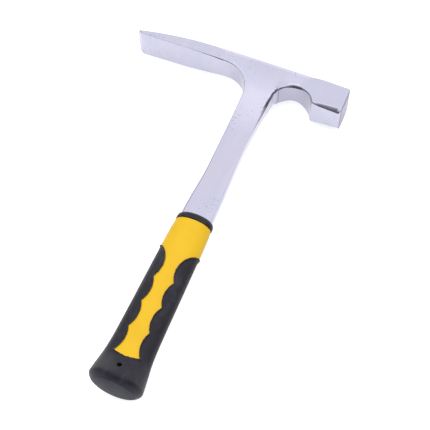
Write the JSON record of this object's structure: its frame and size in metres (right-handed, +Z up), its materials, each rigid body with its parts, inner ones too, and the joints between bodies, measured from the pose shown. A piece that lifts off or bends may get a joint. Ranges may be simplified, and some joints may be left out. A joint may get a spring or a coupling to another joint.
{
  "type": "brick hammer",
  "caption": "Forged steel brick hammer with a chisel blade, a square poll and a round throat, on a flat shank with a yellow and black moulded grip that flares at the butt.",
  "frame": {"origin": "bottom centre of the bounding box, with the hammer lying flat on its side", "axes": "+X towards the striking face, +Y along the handle from the butt to the head, +Z up through the thickness"},
  "size_m": [0.1714, 0.284, 0.0326],
  "materials": {
    "polished_steel": "polished forging with light handling marks",
    "yellow_grip": "smooth satin moulding",
    "dark_rubber": "satin thermoplastic rubber with light scuffs"
  },
  "bodies": {
    "root": {"hammer_forging": "polished_steel", "grip_core": "yellow_grip", "grip_overmould": "dark_rubber", "collar_ring": "dark_rubber"}
  },
  "joints": []
}
